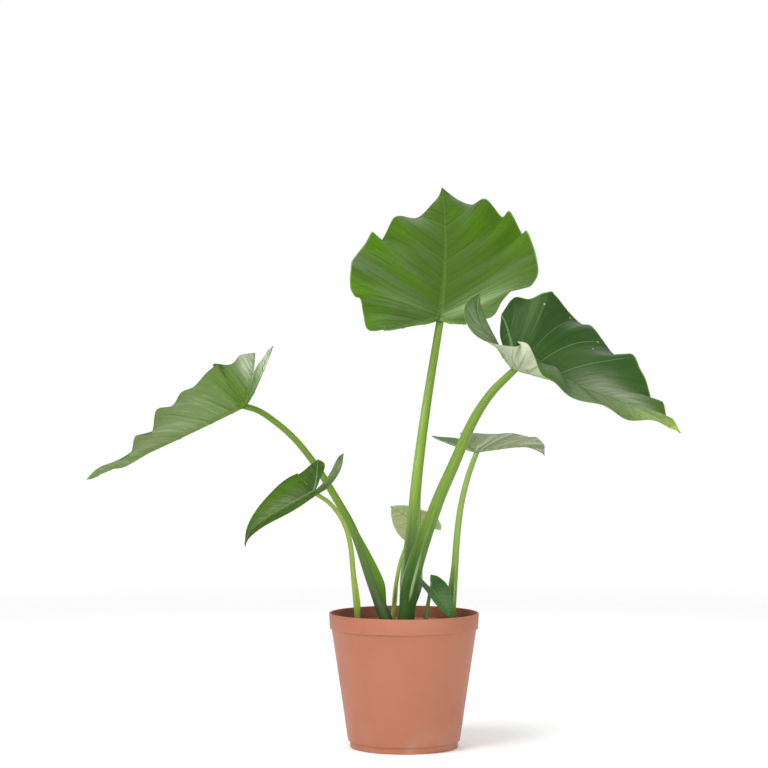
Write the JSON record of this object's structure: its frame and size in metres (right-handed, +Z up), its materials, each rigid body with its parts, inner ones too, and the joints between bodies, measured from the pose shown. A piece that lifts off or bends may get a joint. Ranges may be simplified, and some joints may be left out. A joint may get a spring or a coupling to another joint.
{
  "type": "potted alocasia",
  "caption": "Potted elephant's ear plant: long stalks with sheathed bases carry broad arrow-shaped blades with waved edges and raised ribs, rooted in soil in a plain tapered growing pot.",
  "frame": {"origin": "middle of the flat underside of the pot, on the surface it stands on", "axes": "+Z up along the pot's axis; -Y faces the viewer of the picture; +X to that viewer's right"},
  "size_m": [0.7305, 0.5159, 0.7357],
  "materials": {
    "pot": "fine matte moulded terracotta-coloured plastic",
    "soil": "loose dark potting soil with bark crumbs",
    "blade_grown": "waxy leaf, satin, with sunken veins",
    "blade_young": "waxy young leaf, satin",
    "stalk_grown": "smooth fleshy stalk, satin, faintly streaked",
    "stalk_young": "smooth fleshy young stalk, satin"
  },
  "bodies": {
    "root": {"pot": "pot", "soil": "soil", "blade_a": "blade_grown", "blade_b": "blade_grown", "blade_c": "blade_grown", "blade_d": "blade_young", "blade_e": "blade_young", "blade_f": "blade_young", "blade_g": "blade_young", "stalk_a": "stalk_grown", "stalk_b": "stalk_grown", "stalk_c": "stalk_grown", "stalk_d": "stalk_young", "stalk_e": "stalk_young", "stalk_f": "stalk_young", "stalk_g": "stalk_young"}
  },
  "joints": []
}
